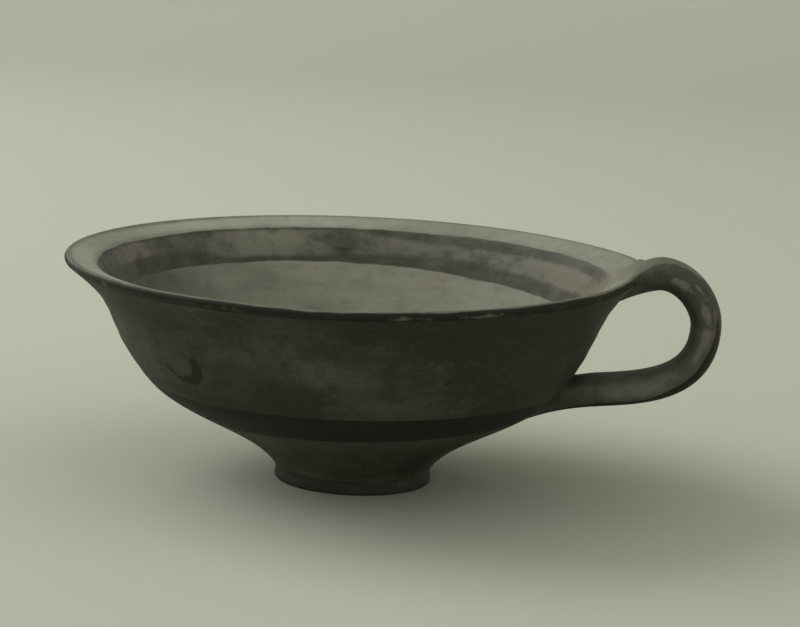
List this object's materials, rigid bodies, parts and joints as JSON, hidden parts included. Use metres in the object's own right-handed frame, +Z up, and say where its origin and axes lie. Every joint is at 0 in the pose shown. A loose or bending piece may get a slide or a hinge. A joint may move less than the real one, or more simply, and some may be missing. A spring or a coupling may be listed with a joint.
{
  "type": "one-handled bowl",
  "caption": "Wide wheel-thrown clay bowl with an everted lip, a low ring foot and one strap handle that rises above the rim, with painted bands inside and out",
  "frame": {"origin": "under the middle of the whole object's box, on the surface that the foot stands on; the bowl's own axis is 10 mm to the -X side of it", "axes": "+X points from the bowl's axis to the handle, +Z points up, and the object is alike on both sides of the XZ plane"},
  "size_m": [0.18, 0.16, 0.068],
  "materials": {
    "bowl_clay": "fired clay, dark slip outside and in bands, bare clay between, satin where slipped and matt where bare",
    "foot_clay": "fired clay under dark slip, worn matt on the edge it stands on",
    "handle_clay": "fired clay under brushed dark slip, worn through in pale patches",
    "luting_clay": "bare fired slip, matt"
  },
  "bodies": {
    "root": {"bowl_body": "bowl_clay", "foot_ring": "foot_clay", "foot_luting": "luting_clay", "strap_handle": "handle_clay", "upper_luting": "handle_clay", "lower_luting": "handle_clay"}
  },
  "joints": []
}
